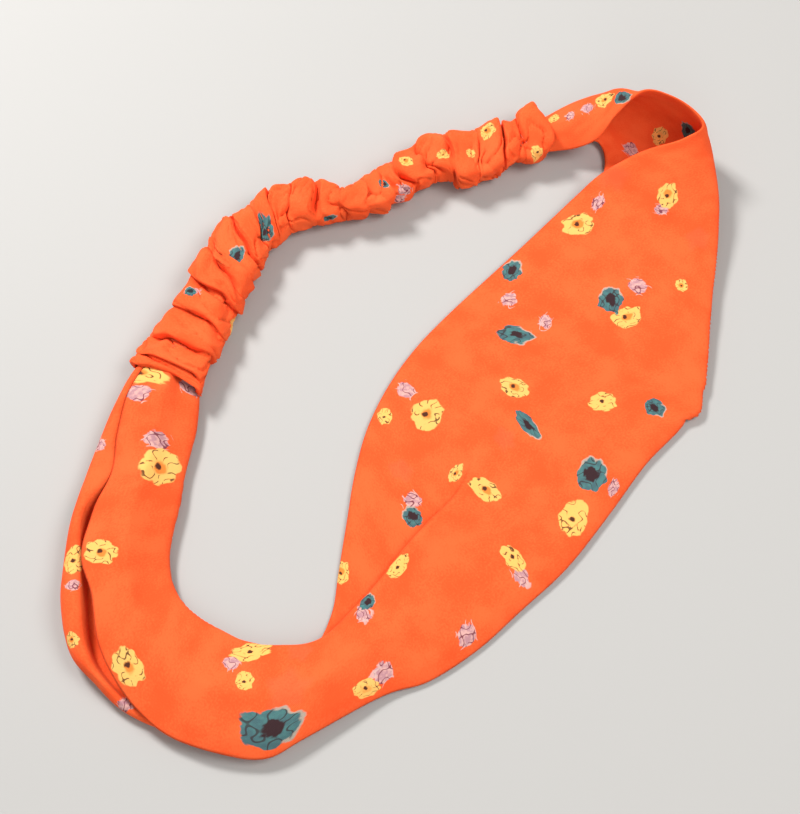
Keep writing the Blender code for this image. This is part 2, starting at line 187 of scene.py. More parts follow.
# ---- front band: its folded rows --------------------------------------------------------------
# Each row runs across the band: hidden or inner edge, lower fold, upper fold, outer edge (x, y),
# then the heights of the lower fold's lip, the crest and the outer edge, half the thickness, and
# the width of the slit between the lip and the outer edge. Where the two folds meet, the band
# is a single flat layer.
FOLDED_ROWS = [
    ((-64.0, 19.0), (-70.8, 21.4), (-59.6, 17.4), (-70.0, 21.0), 5.2, 6.6, 5.4, 0.40, 0.4),
    ((-66.0, 12.0), (-75.2, 15.2), (-60.0, 9.6), (-72.6, 14.4), 6.2, 7.5, 6.6, 0.42, 0.4),
    ((-66.5, 6.5), (-78.8, 9.4), (-59.6, 3.8), (-76.0, 8.8), 7.2, 8.2, 7.5, 0.46, 0.4),
    ((-66.0, 1.5), (-82.0, 2.0), (-59.5, 0.6), (-79.0, 2.0), 7.0, 8.5, 7.4, 0.50, 0.4),
    ((-68.0, -8.0), (-85.8, -9.5), (-60.0, -7.0), (-80.8, -9.0), 6.6, 8.8, 7.0, 0.50, 0.3),
    ((-72.0, -18.5), (-88.8, -20.5), (-62.0, -17.0), (-81.6, -20.0), 6.6, 9.0, 7.0, 0.50, 0.3),
    ((-76.0, -31.0), (-91.2, -32.0), (-63.0, -27.0), (-85.4, -31.0), 7.4, 9.3, 7.9, 0.50, 3.2),
    ((-77.0, -44.0), (-92.2, -45.0), (-64.5, -36.0), (-87.3, -44.0), 6.8, 9.2, 7.6, 0.50, 0.6),
    ((-77.0, -53.0), (-91.8, -56.5), (-65.0, -43.5), (-83.6, -54.5), 7.6, 9.3, 8.2, 0.50, 3.6),
    ((-74.0, -62.0), (-88.6, -68.8), (-63.5, -50.0), (-81.4, -66.0), 7.4, 9.1, 8.0, 0.50, 4.0),
    ((-66.0, -65.0), (-81.8, -76.4), (-60.5, -55.0), (-77.4, -74.6), 6.4, 8.8, 7.4, 0.50, 2.8),
    ((-60.0, -68.0), (-73.2, -84.2), (-56.0, -59.0), (-71.0, -83.2), 3.4, 8.2, 5.6, 0.50, 0.6),
    ((-54.0, -70.0), (-61.6, -88.8), (-51.0, -62.0), (-62.2, -90.2), 2.4, 7.6, 4.0, 0.50, 0.4),
    ((-43.0, -72.0), (-48.8, -92.8), (-43.5, -65.5), (-49.4, -94.6), 1.9, 7.2, 3.3, 0.50, 0.4),
    ((-32.0, -70.5), (-37.0, -93.8), (-35.0, -66.5), (-37.5, -95.8), 1.9, 6.8, 3.0, 0.50, 0.4),
    ((-26.0, -67.0), (-26.8, -88.6), (-24.5, -65.0), (-27.5, -90.6), 1.9, 6.2, 2.8, 0.50, 0.4),
    ((-21.5, -57.0), (-8.7, -76.0), (-15.0, -56.0), (-8.0, -79.5), 1.9, 5.2, 1.4, 0.50, 0.4),
    ((-20.0, -46.0), (-1.4, -64.0), (-9.0, -49.0), (4.0, -75.5), 1.9, 4.6, 0.6, 0.55, 0.4),
    ((-18.0, -32.0), (4.5, -51.0), (-3.0, -41.0), (17.0, -67.0), 2.0, 4.0, 0.6, 0.60, 0.4),
    ((-16.0, -18.0), (10.4, -38.6), (4.0, -33.0), (28.0, -57.0), 2.1, 3.4, 0.8, 0.70, 0.4),
    ((-12.5, -4.0), (14.3, -26.5), (12.0, -24.0), (41.0, -45.0), 2.1, 2.8, 1.0, 0.90, 0.4),
    ((-6.0, 10.0), (19.4, -7.2), (19.4, -7.2), (53.0, -30.0), 1.4, 2.2, 1.1, 1.05, 0.4),
    ((3.0, 23.0), (31.0, 6.4), (31.0, 6.4), (65.0, -14.0), 1.3, 2.0, 1.1, 1.10, 0.4),
    ((14.0, 35.0), (42.0, 17.7), (42.0, 17.7), (76.0, -3.5), 1.3, 1.9, 1.1, 1.10, 0.4),
]
# The hood: front edge, upper middle, outer fold, lower middle, hidden edge (x, y, z).
HOOD_ROWS = [
    [(18.5, 39.5, 1.2), (48.0, 20.0, 2.0), (77.6, 0.5, 1.6), (77.2, 0.8, 1.0), (76.6, 1.2, 0.9)],
    [(23.0, 44.0, 1.3), (52.0, 24.5, 2.4), (79.6, 4.5, 2.1), (77.5, 5.2, 0.8), (75.0, 6.0, 0.8)],
    [(32.0, 53.0, 1.6), (58.0, 34.0, 3.0), (82.0, 15.0, 2.6), (77.0, 15.8, 0.8), (71.0, 17.0, 0.8)],
    [(42.5, 63.5, 2.6), (64.0, 47.0, 4.0), (84.6, 30.0, 3.2), (76.5, 31.2, 0.8), (67.0, 33.0, 0.8)],
    [(53.0, 73.0, 5.4), (71.0, 59.5, 6.6), (87.4, 45.5, 4.2), (76.0, 47.2, 0.8), (63.0, 49.0, 0.8)],
    [(60.5, 76.5, 9.5), (76.0, 68.0, 10.0), (89.2, 59.0, 6.0), (76.0, 60.8, 0.8), (60.5, 63.0, 0.8)],
    [(69.5, 79.5, 13.5), (80.5, 75.0, 13.0), (89.2, 70.0, 7.5), (76.0, 69.5, 0.8), (57.5, 70.5, 0.8)],
    [(79.0, 81.0, 16.5), (85.0, 79.5, 14.0), (88.0, 78.0, 8.0), (76.5, 75.8, 0.8), (56.5, 75.5, 0.8)],
    [(84.5, 83.5, 18.5), (86.0, 85.0, 14.0), (85.6, 85.0, 8.0), (75.5, 80.0, 0.8), (57.6, 79.4, 0.8)],
    [(82.0, 88.5, 19.0), (82.5, 89.2, 13.5), (81.0, 89.2, 7.0), (72.5, 84.5, 0.9), (58.0, 82.2, 0.9)],
    [(75.5, 92.5, 20.0), (76.2, 93.8, 14.0), (74.5, 93.8, 6.5), (68.0, 88.0, 0.9), (58.0, 84.8, 1.0)],
    [(67.5, 94.6, 19.2), (68.8, 97.0, 13.0), (67.0, 97.0, 6.0), (62.5, 91.0, 1.0), (57.4, 87.4, 1.2)],
    [(60.0, 90.0, 14.0), (62.2, 99.0, 13.5), (61.0, 99.4, 6.5), (58.0, 93.5, 1.4), (56.0, 89.4, 1.5)],
    [(55.5, 85.8, 8.8), (56.4, 97.0, 12.6), (55.5, 101.0, 7.0), (54.0, 95.0, 1.7), (53.0, 89.8, 1.7)],
    [(49.5, 84.4, 5.6), (50.2, 93.8, 10.4), (48.5, 99.2, 6.6), (48.4, 94.0, 2.1), (48.6, 88.6, 1.8)],
    [(42.8, 84.2, 4.8), (41.9, 90.2, 7.4), (40.3, 95.4, 5.4), (41.2, 91.0, 2.8), (42.4, 86.0, 2.4)],
    [(34.3, 83.8, 4.6), (33.4, 87.2, 5.4), (32.3, 90.8, 4.4), (33.2, 87.4, 2.8), (34.2, 84.2, 2.6)],
]
HOOD_HALF = 0.62            # half thickness of the cloth in the hood
ACROSS = 116                # points across the band
FOLDED_STEPS = 13           # stations between two folded rows
HOOD_STEPS = 13
LAYER_GAP = 0.2             # air between two folded layers
FLOOR_GAP = 0.05            # air between the lowest layer and the floor
BRIDGE_ROWS = 5             # stations that join the folded rows to the hood
FULL_FOLD = 12.0            # overlap at which the folds have their full size
FINE_POINTS = 600           # points across the band while its corners are rounded
ROUNDING_PASSES = 50        # more passes give rounder folds
SEAM_REACH_UP = 0.7         # points lower than this belong to the underside
SEAM_DRAW = 1.0             # how far the seam draws the underside in
SEAM_WIDTH = 1.1


def smooth_step(value):
    value = min(1.0, max(0.0, value))
    return value * value * (3 - 2 * value)


def folded_section(row):
    """Across the band: lower layer, lower fold and its lip, middle layer, upper fold, top layer."""
    inner, low_fold, up_fold, outer = row[0:2], row[2:4], row[4:6], row[6:8]
    lip, crest, edge, half, slit = row[8:13]
    out = unit(outer - up_fold)
    size = min(1.0, np.linalg.norm(low_fold - up_fold) / FULL_FOLD)
    layer = 2 * half + LAYER_GAP
    base = half + FLOOR_GAP
    crest = max(crest, base + 2 * size * layer)
    edge = max(edge, base)
    low = size * base + (1 - size) * crest
    middle = low + size * layer
    top = low + 2 * size * layer
    lip = low + size * (max(lip, middle) - low)
    beyond = smooth_step((np.dot(low_fold - outer, out) - 0.5) / 2.0)
    brink = (1 - beyond) * (low_fold - 2.6 * size * out) + beyond * (outer + slit * out)
    foot = (1 - beyond) * (low_fold - 4.4 * size * out) + beyond * (outer + (slit - 0.8) * out)
    return np.array([
        (*inner, base),
        (*((inner + low_fold) / 2), (base + 2 * low) / 3),
        (*(low_fold - size * 2.0 * out), low),
        (*(low_fold - size * 0.4 * out), 0.75 * low + 0.25 * lip),
        (*low_fold, 0.45 * low + 0.55 * lip),
        (*(low_fold - size * out), 0.12 * low + 0.88 * lip),
        (*((low_fold - size * out + brink) / 2), lip),
        (*brink, lip - beyond * 0.3),
        (*(brink - size * 0.5 * out), 0.45 * lip + 0.55 * middle),
        (*foot, middle),
        (*(foot - size * 3.0 * out), middle),
        (*(up_fold + size * 4.0 * out), middle),
        (*(up_fold + size * out), middle + size * 0.1),
        (*up_fold, (middle + top) / 2),
        (*(up_fold + size * 0.8 * out), top + 0.7 * size),
        (*(up_fold + 6.0 * out), 0.5 * top + 0.5 * crest),
        (*((up_fold + outer) / 2), crest),
        (*(outer - 4.0 * out), 0.45 * crest + 0.55 * edge),
        (*outer, edge),
    ])


def front_band_middle():
    """Middle surface of the band as a grid of stations and points across, and half thicknesses."""
    rows = np.array([[*a, *b, *c, *d, *rest] for a, b, c, d, *rest in FOLDED_ROWS])
    rows = refine(rows, FOLDED_STEPS)
    folded = [rounded(folded_section(row)) for row in rows]
    hood = [even_points(refine(row, 16), ACROSS) for row in refine(HOOD_ROWS, HOOD_STEPS)]
    joint = len(folded)
    bridge = curve_through([folded[-FOLDED_STEPS], folded[-1], hood[0], hood[HOOD_STEPS]],
                           np.linspace(1.0, 2.0, BRIDGE_ROWS + 2)[1:-1])
    grid = np.concatenate([np.array(folded), bridge, np.array(hood)])
    half = np.concatenate([rows[:, 11],
                           np.linspace(rows[-1, 11], HOOD_HALF, BRIDGE_ROWS + len(hood))])
    half[joint + BRIDGE_ROWS:] = np.maximum(HOOD_HALF, 1.1 - 0.02 * np.arange(len(hood)))
    patch = slice(joint - FOLDED_STEPS - 1, joint + 2 * HOOD_STEPS)
    grid[patch] = smoothed(grid[patch], 30)
    grid = smoothed(grid, 3)
    grid[..., 0] += PLAN_SHIFT[0]
    grid[..., 1] += PLAN_SHIFT[1]
    return grid, half


def sway_band(grid, half):
    """Soft swells and small wrinkles, the same for all layers over one place."""
    plan = grid * np.array([1.0, 1.0, 0.0])
    swell = noise_field(plan / 34.0, 1)
    ripple = noise_field(plan / np.array([15.0, 11.0, 1.0]), 2)
    lift = np.clip((grid[..., 2] - 0.6) / 3.0, 0.35, 1.0)
    rise = np.maximum(0.0, 0.9 * swell + 0.35 * ripple) * lift
    grid[..., 2] += rise - 0.25 * np.maximum(0.0, grid[..., 2] - 3.5) * np.clip(-ripple, 0, 1)
    grid[..., 2] = np.maximum(grid[..., 2], half[:, None] + FLOOR_GAP)
    return grid


def front_band_shell():
    """Rings round the flattened tube of cloth: over the top side, then back under it."""
    grid, half = front_band_middle()
    grid = sway_band(grid, half)
    along = np.gradient(grid, axis=0)
    across = np.gradient(grid, axis=1)
    normal = unit(np.cross(across, along))
    normal = unit(smoothed(smoothed(normal, 1).transpose(1, 0, 2), 1).transpose(1, 0, 2))
    share = np.abs(np.linspace(-1.0, 1.0, ACROSS))
    round_edge = np.sqrt(np.maximum(0.0, 1.0 - share**14))
    puff = 1.0 + 0.16 * noise_field(grid / 9.0, 3)
    offset = normal * (half[:, None] * round_edge[None, :] * puff)[..., None]
    upper = grid + offset
    lower = grid - offset
    rings = np.concatenate([upper, lower[:, 1:-1][:, ::-1]], axis=1)
    rings[..., 2] = np.maximum(rings[..., 2], 0.0)
    return draw_in_seam(rings)


def draw_in_seam(rings):
    """Draws the underside in along the CAD seam, so that its thread shows from below."""
    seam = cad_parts["band_seam_stitching"]
    tree = KDTree(len(seam.data.vertices))
    for index, vertex in enumerate(seam.data.vertices):
        place = seam.matrix_world @ vertex.co / MM
        tree.insert((place.x, place.y, 0.0), index)
    tree.balance()
    for row, column in np.argwhere(rings[..., 2] < SEAM_REACH_UP):
        x, y, _ = rings[row, column]
        distance = tree.find((x, y, 0.0))[2]
        rings[row, column, 2] += SEAM_DRAW * math.exp(-(distance / SEAM_WIDTH) ** 2)
    return rings


# ---- casing: its folds ------------------------------------------------------------------------
CASING_PATH = [
    (-67.4, 8.4), (-63.8, 17.5), (-59.8, 27.0), (-55.8, 40.0), (-49.3, 51.5), (-41.3, 60.0),
    (-30.8, 65.0), (-17.8, 67.5), (-2.8, 72.0), (12.2, 77.5), (27.2, 82.5), (42.4, 87.7),
]
# One row for each ridge of cloth: its place along the casing on the outer and the inner side,
# how far it stands out on each side of the path, its height, the depth of the crease beside it,
# and how far it leans over that crease (forward or, if negative, back).
RIDGES = [
    (-3.6, -5.0, 10.2, 11.0, 8.8, 0.9, 0.0),
    (1.4, -0.8, 11.0, 11.4, 9.8, 1.3, -1.2),
    (5.0, 2.6, 10.6, 11.2, 10.4, 1.6, -1.6),
    (13.5, 12.5, 9.0, 11.4, 10.2, 1.9, -1.6),
    (24.0, 19.4, 7.6, 10.8, 10.8, 2.2, -2.4),
    (35.5, 26.0, 6.4, 11.2, 11.0, 2.6, -2.4),
    (40.5, 31.5, 6.4, 11.4, 10.8, 1.6, 1.2),
    (46.5, 37.5, 7.2, 11.8, 11.4, 2.2, 1.8),
    (53.0, 44.5, 6.4, 10.8, 10.6, 2.4, -1.4),
    (59.5, 51.5, 7.2, 10.0, 10.8, 2.6, 1.4),
    (65.0, 58.5, 6.8, 9.0, 10.0, 2.6, -1.0),
    (70.5, 66.0, 6.6, 8.8, 10.6, 3.4, 1.2),
    (78.0, 77.5, 3.6, 8.4, 9.8, 2.2, -1.0),
    (84.5, 84.5, 2.6, 8.6, 10.0, 1.5, 1.0),
    (90.0, 92.5, 3.6, 9.2, 10.6, 2.2, 2.2),
    (95.5, 98.5, 5.0, 6.8, 9.8, 1.8, 1.2),
    (103.0, 105.0, 8.0, 4.8, 10.4, 1.9, -1.2),
    (112.5, 111.5, 10.4, 4.6, 11.0, 2.5, 1.0),
    (120.8, 117.8, 8.8, 9.6, 10.4, 2.6, -1.6),
    (129.8, 125.2, 9.4, 9.0, 11.0, 2.4, 1.4),
    (136.5, 132.8, 8.2, 6.6, 10.0, 2.2, -1.2),
    (144.2, 140.4, 11.4, 7.2, 11.4, 1.9, 1.0),
    (151.0, 148.5, 8.6, 6.4, 9.0, 1.4, 0.0),
]
RIDGE_RINGS = 26            # rings from one ridge to the next
CASING_ROUND = 80           # points round the casing
CASING_CLOTH = 0.5          # thickness of the casing's cloth
CASING_FLOOR = 0.25


def path_reader():
    """Arrays that give the casing's path by length, with straight run-outs at both ends."""
    line = refine(CASING_PATH, 30)
    first = unit(line[1] - line[0])
    last = unit(line[-1] - line[-2])
    run_out = np.arange(10.0, 0.0, -0.5)
    before = line[0] - first * run_out[:, None]
    after = line[-1] + last * run_out[::-1][:, None]
    line = np.concatenate([before, line, after])
    step = np.linalg.norm(np.diff(line, axis=0), axis=1)
    length = np.concatenate([[0.0], np.cumsum(step)]) - 10.0
    forward = unit(smoothed(np.gradient(line, axis=0), 60))
    return line, length, forward


CASING_LINE, CASING_LENGTHS, CASING_FORWARD = path_reader()


def casing_place(length):
    """Plan point of the casing's path at lengths along it, and the direction to its outer side."""
    point = np.stack([np.interp(length, CASING_LENGTHS, CASING_LINE[:, k]) for k in (0, 1)], -1)
    forward = unit(np.stack([np.interp(length, CASING_LENGTHS, CASING_FORWARD[:, k])
                             for k in (0, 1)], -1))
    side = np.stack([-forward[..., 1], forward[..., 0]], -1)
    return point, side


def signed_power(values, power):
    return np.sign(values) * np.abs(values) ** power


def casing_wrinkles(phase, cos, sin, fade):
    """Swells, creases that run askew between the ridges, and small puckers."""
    askew = phase + 0.35 * sin - 0.25 * cos
    broad = noise_field(np.stack([askew * 1.5, cos * 1.1, sin * 1.1], -1), 6)
    thin = noise_field(np.stack([askew * 2.6, cos * 1.0, sin * 1.0], -1), 8)
    small = noise_field(np.stack([askew * 6.0, cos * 2.0, sin * 2.0], -1), 7)
    crease = np.clip(1 - np.abs(thin) / 0.16, 0.0, 1.0) ** 1.3
    patch = np.clip(0.75 + 1.4 * fade, 0.0, 1.0)
    return 0.7 * broad + 0.2 * small - 1.4 * crease * patch + 0.3 * np.abs(thin)


def casing_surface(inset):
    """The gathered tube, drawn in by inset. Its folds are ridges with tight creases between."""
    ridges = np.array(RIDGES)
    last = len(ridges) - 1
    phase = np.linspace(0.5, last - 0.5, (last - 1) * RIDGE_RINGS + 1)
    angle = np.linspace(0.0, 2 * math.pi, CASING_ROUND, endpoint=False)
    values = curve_through(ridges, phase)
    grid_phase, grid_angle = np.meshgrid(phase, angle, indexing="ij")
    cos, sin = np.cos(grid_angle), np.sin(grid_angle)
    drift = noise_field(np.stack([grid_phase * 0.9, cos * 0.9, sin * 0.9], -1), 4)
    fade = noise_field(np.stack([grid_phase * 0.9, cos * 1.1, sin * 1.1], -1), 5)
    across = ((1 - cos) / 2) ** 1.5
    start, end, outer, inner, height, depth, lean = (values[:, k][:, None] for k in range(7))
    length = start + (end - start) * across + 1.6 * drift
    beside = grid_phase - np.round(grid_phase)
    skewed = beside - 0.22 * np.clip(lean, -1.0, 1.0) * np.cos(math.pi * beside)
    ridge = np.abs(np.cos(math.pi * skewed)) ** 0.6
    depth = np.minimum(depth * np.clip(1.0 + 1.1 * fade, 0.25, 1.8), 3.5)
    sag = depth * (1 - ridge)
    swell = casing_wrinkles(grid_phase, cos, sin, fade) - inset
    length = length + lean * (ridge - 0.6 - inset / depth) + 0.5 * np.sin(2 * math.pi * beside)
    middle = (outer - inner) / 2
    half_width = (outer + inner) / 2
    lateral = middle + signed_power(cos, 0.76) * (half_width - 0.8 * sag + swell)
    half_height = height / 2 - CASING_FLOOR
    up = np.maximum(sin, 0.0) ** 0.72 * (half_height - sag + swell)
    down = np.maximum(-sin, 0.0) ** 0.76 * (half_height - 0.3 * sag - inset)
    point, side = casing_place(length)
    plan = point + side * lateral[..., None]
    z = np.maximum(height / 2 + up - down, CASING_FLOOR + inset)
    return np.concatenate([plan, z[..., None]], axis=-1)


def casing_shell():
    """Outer and inner side of the casing's cloth, joined round both mouths."""
    outer = casing_surface(0.0)
    inner = casing_surface(CASING_CLOTH)
    return np.concatenate([outer, inner[::-1]])


def casing_middle_offset(length):
    """How far the casing's middle lies to the side of its path."""
    ridges = np.array(RIDGES)
    return np.interp(length, ridges[:, 0:2].mean(axis=1), (ridges[:, 2] - ridges[:, 3]) / 2)


# ---- meshes -----------------------------------------------------------------------------------
class Surface:
    """A grid of rings turned into a mesh, with what the print needs to find its places."""

    def __init__(self, name, rings, closed_along, sides):
        self.name = name
        self.rings = rings * MM
        self.count, self.around = rings.shape[:2]
        self.closed_along = closed_along
        self.sides = sides
        self.build()

    def build(self):
        count, around = self.count, self.around
        spans = count if self.closed_along else count - 1
        row, column = np.meshgrid(np.arange(spans), np.arange(around), indexing="ij")
        row, column = row.ravel(), column.ravel()
        corner_row = np.stack([row, row, row + 1, row + 1], -1)
        corner_column = np.stack([column, column + 1, column + 1, column], -1)
        self.corner_row, self.corner_column = corner_row, corner_column
        self.faces = (corner_row % count) * around + corner_column % around
        self.points = self.rings.reshape(-1, 3)
        self.polygons = [tuple(face) for face in self.faces.tolist()]
        if not self.closed_along:
            self.polygons += self.end_caps()
        mesh = bpy.data.meshes.new(self.name)
        mesh.from_pydata([tuple(point) for point in self.points.tolist()], [], self.polygons)
        mesh.update()
        mesh.shade_smooth()
        self.object = bpy.data.objects.new(self.name, mesh)
        bpy.context.scene.collection.objects.link(self.object)

    def end_caps(self):
        """Quads that close the flattened tube at its two ends."""
        caps = []
        half = self.around // 2
        for base, flip in ((0, False), ((self.count - 1) * self.around, True)):
            for step in range(half):
                a, b = step, step + 1
                c, d = (self.around - b) % self.around, (self.around - a) % self.around
                loop = [v for k, v in enumerate((a, b, c, d)) if v not in (a, b, c, d)[:k]]
                loop = [base + v for v in loop]
                caps.append(tuple(loop if flip else reversed(loop)))
        return caps

    def measure_cloth(self):
        """Lengths over the cloth in mm, along and round, for the weave."""
        step = np.linalg.norm(np.diff(self.rings, axis=0), axis=2).mean(axis=1)
        along = np.concatenate([[0.0], np.cumsum(step)]) / MM
        around_step = np.linalg.norm(self.rings - np.roll(self.rings, -1, axis=1), axis=2)
        return along, around_step.mean() / MM

    def add_corner_vectors(self, name, values):
        """Store one vector per face corner; the end caps get the blank value."""
        mesh = self.object.data
        full = np.full((len(mesh.loops), 3), BLANK, np.float32)
        full[:values.size // 3] = values.reshape(-1, 3)
        attribute = mesh.attributes.new(name, "FLOAT_VECTOR", "CORNER")
        attribute.data.foreach_set("vector", full.ravel())


# ---- print: where the blossoms lie ------------------------------------------------------------
BLANK = 9.0
# Places where a motif shows, as (x, y, radius) and, for long ones, their direction in degrees
# and how slim they are: x and y on a level 3 mm over the table, along the main view's sight.
YELLOW = [
    (50, 58, 5.9, 5, 0.72), (77, 68, 4.4, 80, 0.85), (62, 27, 5.4, 15, 0.72), (79, 38, 2.5),
    (5, -3, 6.3, 70, 0.85), (-7, -4, 3.1), (29, 5, 5.0, -20, 0.7), (54, 1, 4.9, 10, 0.72),
    (13, -20, 3.6, 60, 0.55), (21, -25, 5.8, -35, 0.62), (44, -34, 6.2, 70, 0.8),
    (27, -45, 5.4, -50, 0.55), (-3, -47, 4.8, 50, 0.5), (-18, -49, 3.6, 80, 0.5), (-75, 10, 5.0),
    (-68, -19, 6.9, 20, 0.9), (-82, -43, 5.6, -10, 0.75), (-89, -45, 4.8, 80, 0.7),
    (-88, -67, 2.8), (-73, -74, 6.4, -60, 0.72), (-41, -70, 6.4, 15, 0.5), (-42, -78, 3.4),
    (-11, -80, 4.6, 20, 0.6), (76, 89, 3.4), (60, 102, 3.6), (44, 95, 2.2), (-1, 80, 2.5),
    (11, 82, 2.5), (24, 91, 3.1), (39, 83, 2.8), (19, 82, 2.0),
]
TEAL = [
    (30, 42, 4.4, 70, 0.8), (31, 22, 6.8, -8, 0.5), (58, 33, 5.4), (68, -1, 4.0, -30, 0.8),
    (50, -21, 6.4, 75, 0.75), (33, -6, 6.6, -55, 0.36), (1, -33, 3.9), (-11, -57, 3.1),
    (-35, -90, 10.2, 16, 0.66), (85, 91, 3.1), (66, 103, 3.6), (-42, 55, 5.6, -75, 0.65),
    (-50, 47, 4.2, 80, 0.75), (-63, 36, 2.5), (-23, 60, 2.6, 10, 0.6), (-7, 72, 2.6, -40, 0.5),
]
LILAC = [
    (56, 65, 3.2, 60, 0.7), (39, 26, 2.8), (66, 37, 3.6, -20, 0.8), (75, 63, 2.5), (29, 33, 3.0),
    (55, -25, 3.0, 70, 0.6), (29, -50, 3.8, -60, 0.6), (15, -66, 4.0, 70, 0.7),
    (-1, 4, 3.4, -40, 0.8), (1, -28, 3.2), (-12, -60, 2.8), (-75, 4, 4.6, 0, 0.6),
    (-61, 5, 4.2, -30, 0.6), (-85, -12, 2.5), (-69, -11, 4.8, -15, 0.6), (-89, -52, 2.2),
    (-72, -84, 2.5), (-46, -73, 2.8), (-7, -76, 4.0, 60, 0.7), (-30, -95, 3.1), (67, 84, 2.8),
    (55, 99, 2.5), (-1, 70, 2.5), (-62, 36, 2.8, 20, 0.5), (-3, 67, 2.2), (49, 96, 2.0),
]
GHOST = [
    (-31, -80, 7.3), (61, 75, 6.2), (85, 53, 5.0), (-2, -20, 4.5), (26, -11, 4.5),
    (-21, -45, 3.9), (-28, -70, 4.5),
]
SEEN = {"yellow": YELLOW, "teal": TEAL, "lilac": LILAC, "ghost": GHOST}
PRINT_HEIGHT = 3.0
MOTIF_REACH = 1.7           # how far a motif's own coordinates go, in its radii
PLAIN_SLIM = 0.85           # slimness of a motif that has none in its table
SEEN_GAP = 2.5              # a point this near to the first hit counts as seen
HIDDEN_KINDS = [("yellow", 3.0, 5.8, 5), ("teal", 3.0, 5.6, 3), ("lilac", 2.4, 3.6, 4)]
HIDDEN_SPACING = 15.0
HIDDEN_TRIES = 900


class Print:
    """Gives each printed motif its own flat coordinates on the cloth that it falls on."""

    def __init__(self, surfaces, camera):
        self.surfaces = surfaces
        self.camera = camera.location.copy()
        self.random = random.Random(11)
        points, polygons, self.owner = [], [], []
        for surface in surfaces:
            base = len(points)
            points += [Vector(point) for point in surface.points.tolist()]
            polygons += [tuple(base + v for v in face) for face in surface.polygons]
            self.owner += [(surface, k) for k in range(len(surface.polygons))]
        self.tree = BVHTree.FromPolygons(points, polygons)
        self.placed = []
        self.maps = {}
        for kind in SEEN:
            for surface in surfaces:
                shape = surface.faces.shape
                self.maps[kind, surface.name] = (np.full(shape + (3,), BLANK), np.full(shape[0], 99.0))

    def seen_place(self, x, y):
        """The face that the main view sees at a place, or None."""
        aim = Vector((x, y, PRINT_HEIGHT)) * MM
        hit, _, face, _ = self.tree.ray_cast(self.camera, (aim - self.camera).normalized())
        if hit is None:
            return None
        surface, local = self.owner[face]
        if local >= len(surface.faces):
            return None
        return surface, local, hit

    def put(self, kind, surface, face, hit, radius, heading=None, slim=None):
        """Give the faces round a place the motif's own coordinates, in motif radii."""
        row = surface.corner_row[face, 0] + 0.5
        column = surface.corner_column[face, 0] + 0.5
        across_row, across_column, basis = self.slopes(surface, row, column)
        turn = self.random.uniform(0, 2 * math.pi)
        seed = self.random.uniform(0.0, 1.0)
        if heading is not None:
            up = np.cross(basis[0], basis[1])[2]
            turn = math.atan2(basis[0, 1], basis[0, 0]) - math.radians(heading)
            turn = turn if up > 0 else -turn
        stretch = np.array([[1.0], [1.0 / (slim or PLAIN_SLIM)]]) / (radius * MM)
        rotate = np.array([[math.cos(turn), -math.sin(turn)], [math.sin(turn), math.cos(turn)]])
        linear = stretch * (rotate @ basis @ np.stack([across_row, across_column], -1))
        delta_column = surface.corner_column - column
        if surface.sides == 1:
            delta_column = (delta_column + surface.around / 2) % surface.around - surface.around / 2
            whole = np.ptp(delta_column, axis=1) < surface.around / 2
        else:
            half = surface.around // 2
            whole = (surface.corner_column[:, 0] < half) == (column < half)
        delta = np.stack([surface.corner_row - row, delta_column], -1)
        flat = delta @ linear.T
        distance = np.linalg.norm(flat.mean(axis=1), axis=1)
        vectors, nearest = self.maps[kind, surface.name]
        mine = whole & (distance < MOTIF_REACH) & (distance < nearest)
        nearest[mine] = distance[mine]
        vectors[mine, :, 0:2] = flat[mine]
        vectors[mine, :, 2] = seed
        self.placed.append(hit)

    def slopes(self, surface, row, column):
        """Mean steps over the cloth along and round at a place, and a flat basis for them."""
        reach = 3
        r0, r1 = int(max(row - reach, 0)), int(min(row + reach, surface.count - 1))
        c0, c1 = int(column - reach), int(column + reach)
        middle_row, middle_column = int(row), int(column) % surface.around
        ring = surface.rings
        along = (ring[r1, middle_column] - ring[r0, middle_column]) / (r1 - r0)
        round_ = (ring[middle_row, c1 % surface.around] - ring[middle_row, c0 % surface.around])
        round_ = round_ / (c1 - c0)
        first = unit(along)
        normal = unit(np.cross(along, round_))
        return along, round_, np.stack([first, np.cross(normal, first)])

    def place_seen(self):
        for kind, places in SEEN.items():
            for x, y, *form in places:
                found = self.seen_place(x, y)
                if found:
                    self.put(kind, *found, *form)

    def is_seen(self, point):
        to_point = point - self.camera
        hit, _, _, _ = self.tree.ray_cast(self.camera, to_point.normalized())
        return hit is None or (hit - point).length < SEEN_GAP * MM

    def place_hidden(self):
        """Scatter motifs over the cloth that the main view doesn't see."""
        kinds = [entry for entry in HIDDEN_KINDS for _ in range(entry[3])]
        for surface in self.surfaces:
            for _ in range(HIDDEN_TRIES):
                face = self.random.randrange(len(surface.faces))
                kind, small, large, _ = self.random.choice(kinds)
                point = Vector(surface.points[surface.faces[face]].mean(axis=0))
                near = any((point - other).length < HIDDEN_SPACING * MM for other in self.placed)
                if near or self.is_seen(point):
                    continue
                self.put(kind, surface, face, point, self.random.uniform(small, large))

    def store(self):
        for (kind, name), (vectors, _) in self.maps.items():
            surface = next(item for item in self.surfaces if item.name == name)
            surface.add_corner_vectors("print_" + kind, vectors)


def store_weave(surface):
    """Cloth lengths in mm at each face corner, for threads that follow the cloth."""
    along, step = surface.measure_cloth()
    along = np.append(along, along[-1] + step)
    values = np.zeros(surface.faces.shape + (3,))
    values[..., 0] = along[surface.corner_row]
    values[..., 1] = surface.corner_column * step
    surface.add_corner_vectors("cloth_mm", values)


